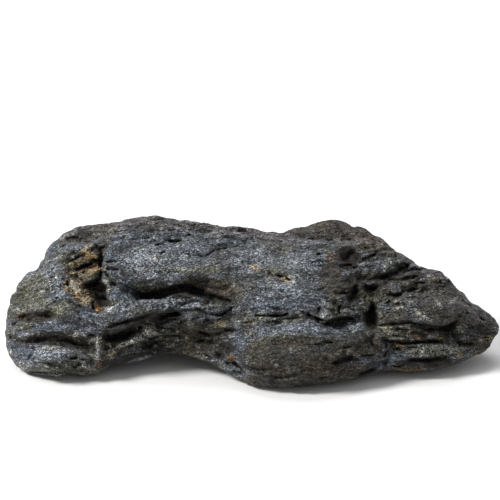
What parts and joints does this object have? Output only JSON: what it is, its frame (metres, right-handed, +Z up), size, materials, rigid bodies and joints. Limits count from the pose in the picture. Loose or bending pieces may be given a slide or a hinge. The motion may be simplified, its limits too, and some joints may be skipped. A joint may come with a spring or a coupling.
{
  "type": "viewing stone",
  "caption": "Long, low natural stone of dark layered schist with an overhanging ledge, a pocket, a rounded front lobe and a tapering wing, lying on its own flat feet.",
  "frame": {"origin": "on the table, under the middle of the stone's bounding box", "axes": "+X along the stone to its tapering wing, +Y to its back, +Z up; the show face looks to -Y"},
  "size_m": [0.2469, 0.112, 0.0731],
  "materials": {
    "dark_schist": "weathered, dark slate blue-grey with fine pale mica specks, olive and ochre in the hollows"
  },
  "bodies": {
    "root": {"viewing_stone": "dark_schist"}
  },
  "joints": []
}
